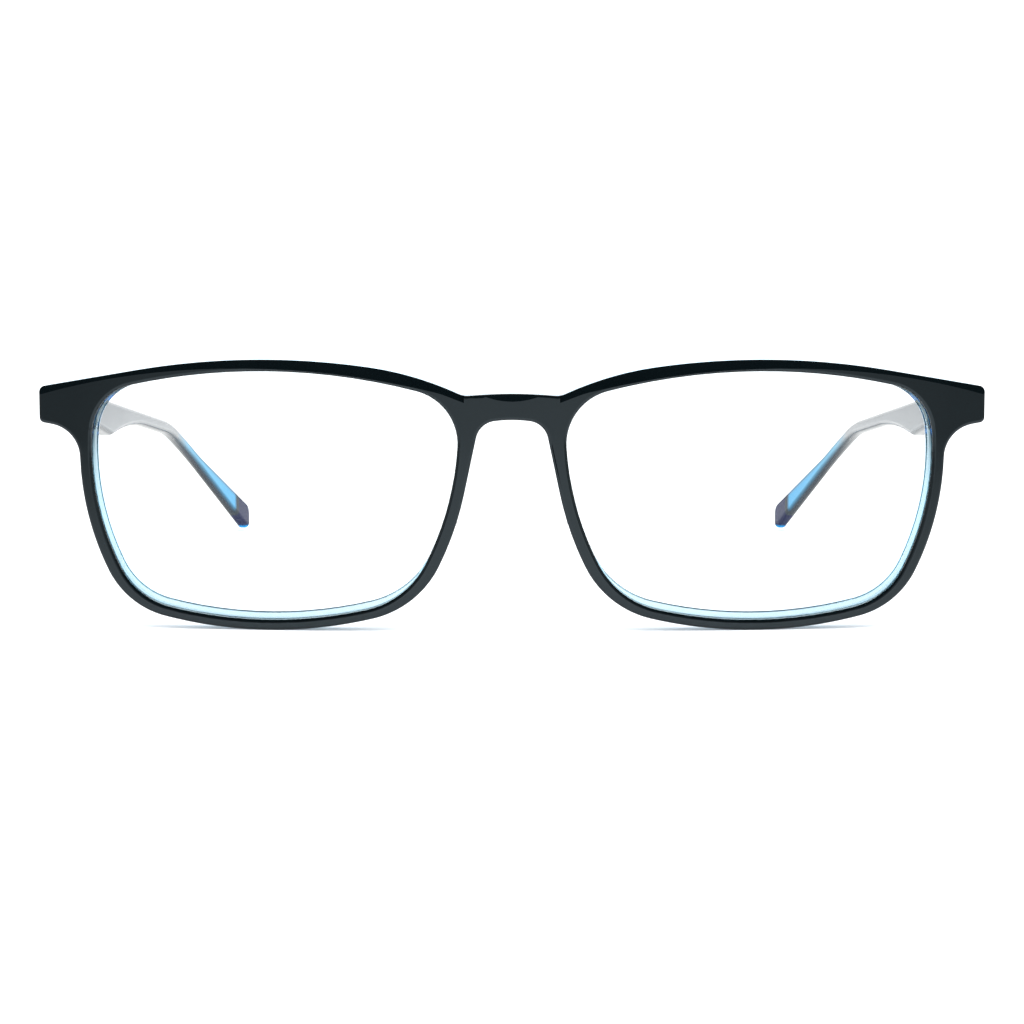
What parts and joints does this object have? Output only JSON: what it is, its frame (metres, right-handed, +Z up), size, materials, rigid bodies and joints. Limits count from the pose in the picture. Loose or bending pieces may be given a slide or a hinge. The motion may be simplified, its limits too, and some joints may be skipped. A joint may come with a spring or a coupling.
{
  "type": "eyeglasses frame",
  "caption": "Rectangular full-rim eyeglasses frame in black over clear light-blue laminated plastic, with clear lenses and folding temples.",
  "frame": {"origin": "middle of the underside of the whole object's box, with the temples open", "axes": "+X along the front, to the right as seen from in front; +Y from the front back along the temples; +Z up"},
  "size_m": [0.14, 0.1394, 0.0398],
  "materials": {
    "black_acetate": "polished",
    "clear_blue_acetate": "polished, see-through",
    "clear_pad": "polished, see-through",
    "dark_tip": "polished",
    "lens_clear": "clear",
    "hinge_metal": "satin"
  },
  "bodies": {
    "front": {"front_outer_layer": "black_acetate", "front_inner_layer": "clear_blue_acetate", "lens_right": "lens_clear", "nose_pad_right": "clear_pad", "front_hinge_leaf_right": "hinge_metal", "hinge_screw_right": "hinge_metal", "lens_left": "lens_clear", "nose_pad_left": "clear_pad", "front_hinge_leaf_left": "hinge_metal", "hinge_screw_left": "hinge_metal"},
    "right_temple": {"temple_hinge_leaf_right": "hinge_metal", "temple_outer_layer_right": "black_acetate", "temple_inner_layer_right": "clear_blue_acetate", "temple_tip_right": "dark_tip"},
    "left_temple": {"temple_hinge_leaf_left": "hinge_metal", "temple_outer_layer_left": "black_acetate", "temple_inner_layer_left": "clear_blue_acetate", "temple_tip_left": "dark_tip"}
  },
  "joints": [
    {"name": "right_temple_fold", "type": "hinge", "parent": "front", "child": "right_temple", "pos_m": [0.0638, -0.05675, 0.03236], "axis": [0, 0, 1], "range_deg": [0, 81]},
    {"name": "left_temple_fold", "type": "hinge", "parent": "front", "child": "left_temple", "pos_m": [-0.0638, -0.05675, 0.03236], "axis": [0, 0, -1], "range_deg": [0, 86]}
  ]
}
